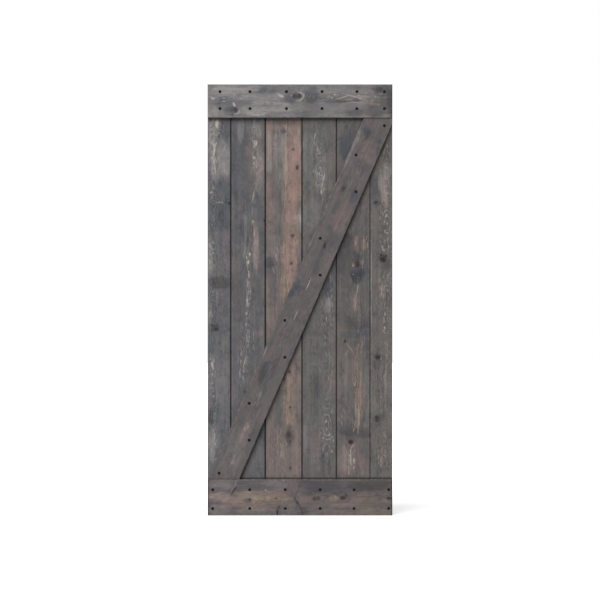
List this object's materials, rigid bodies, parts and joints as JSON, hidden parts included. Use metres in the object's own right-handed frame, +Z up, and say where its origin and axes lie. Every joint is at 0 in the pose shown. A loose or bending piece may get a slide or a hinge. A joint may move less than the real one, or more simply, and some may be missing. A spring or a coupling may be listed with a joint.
{
  "type": "barn door slab",
  "caption": "Rectangular Z-brace barn door slab of upright tongue-and-groove planks, with a top rail, a bottom rail and a diagonal brace screwed on from the front.",
  "frame": {"origin": "middle of the bottom edge, half way through the thickness", "axes": "+Z up along the planks, +X across the width to the right as seen from the front, and the front, with the rails and brace, faces -Y"},
  "size_m": [0.914, 0.038, 2.134],
  "materials": {
    "plank_1": "matte",
    "plank_2": "matte",
    "plank_3": "matte",
    "plank_4": "matte",
    "plank_5": "matte",
    "plank_6": "matte",
    "top_rail": "matte",
    "bottom_rail": "matte",
    "diagonal_brace": "matte",
    "screws": "satin"
  },
  "bodies": {
    "root": {"plank_1": "plank_1", "plank_2": "plank_2", "plank_3": "plank_3", "plank_4": "plank_4", "plank_5": "plank_5", "plank_6": "plank_6", "top_rail": "top_rail", "bottom_rail": "bottom_rail", "diagonal_brace": "diagonal_brace", "top_rail_screw_01": "screws", "top_rail_screw_02": "screws", "top_rail_screw_03": "screws", "top_rail_screw_04": "screws", "top_rail_screw_05": "screws", "top_rail_screw_06": "screws", "top_rail_screw_07": "screws", "top_rail_screw_08": "screws", "top_rail_screw_09": "screws", "top_rail_screw_10": "screws", "top_rail_screw_11": "screws", "top_rail_screw_12": "screws", "bottom_rail_screw_01": "screws", "bottom_rail_screw_02": "screws", "bottom_rail_screw_03": "screws", "bottom_rail_screw_04": "screws", "bottom_rail_screw_05": "screws", "bottom_rail_screw_06": "screws", "bottom_rail_screw_07": "screws", "bottom_rail_screw_08": "screws", "bottom_rail_screw_09": "screws", "bottom_rail_screw_10": "screws", "bottom_rail_screw_11": "screws", "bottom_rail_screw_12": "screws", "brace_screw_01": "screws", "brace_screw_02": "screws", "brace_screw_03": "screws", "brace_screw_04": "screws", "brace_screw_05": "screws", "brace_screw_06": "screws", "brace_screw_07": "screws", "brace_screw_08": "screws", "brace_screw_09": "screws", "brace_screw_10": "screws"}
  },
  "joints": []
}
